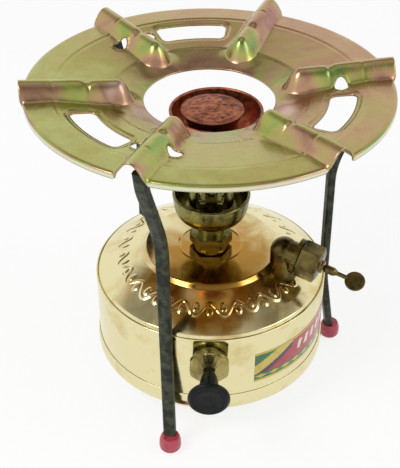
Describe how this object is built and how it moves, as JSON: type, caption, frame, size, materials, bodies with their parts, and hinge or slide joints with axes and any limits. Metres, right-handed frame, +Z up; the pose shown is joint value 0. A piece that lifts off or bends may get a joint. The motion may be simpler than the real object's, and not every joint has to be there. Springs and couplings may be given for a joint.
{
  "type": "pressure stove",
  "caption": "Kerosene pressure stove: brass tank on bent legs, hand pump, side filler with vent screw, copper flame cups and a loose dished pot ring.",
  "frame": {"origin": "the floor point under the middle of the tank and burner", "axes": "+Z up along tank and burner; -Y out along the pump's rod towards its knob; +X to the filler's side"},
  "size_m": [0.2204, 0.2223, 0.2265],
  "materials": {
    "brass": "polished, softly spun",
    "brass_aged": "machined, dulled by heat",
    "brass_cast": "cast, tarnished",
    "copper": "copper darkened by flame",
    "ring_steel": "pressed sheet with yellow iridescent plating",
    "leg_steel": "satin dark grey-green coat",
    "steel": "drawn wire and rod",
    "foot_red": "moulded red caps",
    "black_knob": "moulded black",
    "gasket": "matt",
    "leather": "oiled",
    "label": "printed foil with plain colour bands"
  },
  "bodies": {
    "stove": {"tank_top": "brass", "tank_wall": "brass", "tank_bottom": "brass", "side_label": "label", "pump_barrel": "brass_aged", "pump_cap": "brass_aged", "valve_body": "brass_aged", "valve_spring": "steel", "valve_plug": "brass_aged", "filler_neck": "brass_cast", "burner_boss": "brass_aged", "riser_gasket": "gasket", "dip_tube": "copper", "burner_body": "brass_aged", "burner_jet": "brass_aged", "spirit_cup": "brass_aged", "leg_left": "leg_steel", "leg_right": "leg_steel", "leg_rear": "leg_steel", "leg_saddle_left": "brass_aged", "leg_saddle_right": "brass_aged", "leg_saddle_rear": "brass_aged", "leg_rivets": "brass_aged", "foot_left": "foot_red", "foot_right": "foot_red", "foot_rear": "foot_red"},
    "plunger": {"pump_rod": "steel", "pump_knob": "black_knob", "pump_leather": "leather", "piston_washer": "brass_aged", "piston_nut": "brass_aged"},
    "valve_slider": {"valve_pip": "brass_aged"},
    "cap_seal": {"filler_gasket": "gasket"},
    "fuel_cap": {"filler_cap": "brass_cast"},
    "vent_screw": {"air_screw": "brass_cast"},
    "ring": {"pot_ring": "ring_steel"},
    "flame_cup": {"outer_cap": "copper"},
    "flame_plate": {"inner_cap": "copper"}
  },
  "joints": [
    {"name": "pump_stroke", "type": "slide", "parent": "stove", "child": "plunger", "axis": [0, -1, 0], "range_m": [0, 0.044]},
    {"name": "valve_lift", "type": "slide", "parent": "stove", "child": "valve_slider", "axis": [0, 1, 0], "range_m": [0, 0.0012], "stiffness_N_per_m": 60, "springref_m": -0.001, "deforming": ["valve_spring"]},
    {"name": "cap_seal_travel", "type": "slide", "parent": "stove", "child": "cap_seal", "axis": [0.8925, -0.4162, -0.1736], "range_m": [0, 0.0045]},
    {"name": "fuel_cap_turn", "type": "hinge", "parent": "cap_seal", "child": "fuel_cap", "pos_m": [0.04649, -0.02168, 0.1116], "axis": [0.8925, -0.4162, -0.1736], "range_deg": [0, 1080]},
    {"name": "vent_screw_turn", "type": "hinge", "parent": "fuel_cap", "child": "vent_screw", "pos_m": [0.04649, -0.02168, 0.1116], "axis": [0.8925, -0.4162, -0.1736], "range_deg": [0, 540]},
    {"name": "ring_lift", "type": "slide", "parent": "stove", "child": "ring", "axis": [0, 0, 1], "range_m": [0, 0.06]},
    {"name": "flame_cup_lift", "type": "slide", "parent": "stove", "child": "flame_cup", "axis": [0, 0, 1], "range_m": [0, 0.03]},
    {"name": "flame_plate_lift", "type": "slide", "parent": "flame_cup", "child": "flame_plate", "axis": [0, 0, 1], "range_m": [0, 0.03]}
  ],
  "couplings": [
    {"joint": "fuel_cap_turn", "follows": "cap_seal_travel", "rad_per_m": 4188.8}
  ]
}
